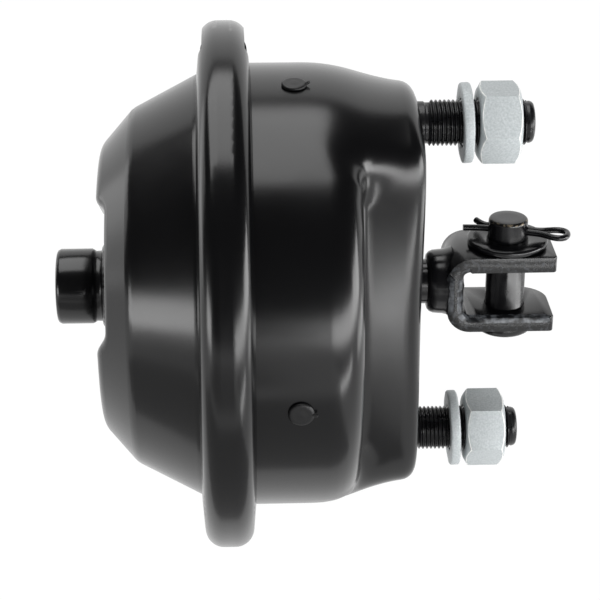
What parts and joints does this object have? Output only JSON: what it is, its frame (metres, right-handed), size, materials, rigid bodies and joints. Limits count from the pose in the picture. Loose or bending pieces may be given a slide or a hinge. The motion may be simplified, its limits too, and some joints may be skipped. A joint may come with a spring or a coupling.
{
  "type": "air brake chamber",
  "caption": "Diaphragm air brake chamber: coned pressure housing with air port, clamp ring, stud-mounted cup housing, pushrod with clevis and pin.",
  "frame": {"origin": "where the pushrod's axis crosses the face that the mounting bracket sits on", "axes": "+X out along the pushrod towards the clevis, +Z from the axis towards the upper stud"},
  "size_m": [0.1823, 0.207, 0.1868],
  "materials": {
    "black_coated_steel": "satin black coating with a very fine orange peel",
    "black_stud_steel": "satin black coated thread",
    "zinc_plated_steel": "matte light grey zinc flake",
    "black_rubber": "matte moulded rubber",
    "spring_steel": "oiled spring steel wire",
    "glossy_black_steel": "glossy black coating, worn at a few edges"
  },
  "bodies": {
    "chamber": {"pressure_housing": "black_coated_steel", "air_port": "black_coated_steel", "non_pressure_housing": "black_coated_steel", "clamp_ring": "black_coated_steel", "stud_plate": "black_coated_steel", "upper_stud": "black_stud_steel", "lower_stud": "black_stud_steel", "clamp_bolt": "zinc_plated_steel", "clamp_nut": "zinc_plated_steel", "upper_washer": "zinc_plated_steel", "lower_washer": "zinc_plated_steel", "upper_nut": "zinc_plated_steel", "lower_nut": "zinc_plated_steel", "vent_plug_1": "black_rubber", "vent_plug_2": "black_rubber", "vent_plug_3": "black_rubber", "vent_plug_4": "black_rubber", "rod_seal": "black_rubber", "diaphragm": "black_rubber", "return_spring": "spring_steel"},
    "pushrod": {"push_plate": "glossy_black_steel", "pushrod": "glossy_black_steel", "clevis": "glossy_black_steel"},
    "clevis_pin": {"clevis_pin": "glossy_black_steel", "pin_washer": "glossy_black_steel", "split_pin": "glossy_black_steel"}
  },
  "joints": [
    {"name": "push_stroke", "type": "slide", "parent": "chamber", "child": "pushrod", "axis": [1, 0, 0], "range_m": [0, 0.057], "stiffness_N_per_m": 1500, "springref_m": -0.05, "deforming": ["return_spring", "diaphragm"]},
    {"name": "clevis_pin_turn", "type": "hinge", "parent": "pushrod", "child": "clevis_pin", "pos_m": [0.0332, 0, 0], "axis": [0, 0, 1], "continuous": true}
  ]
}
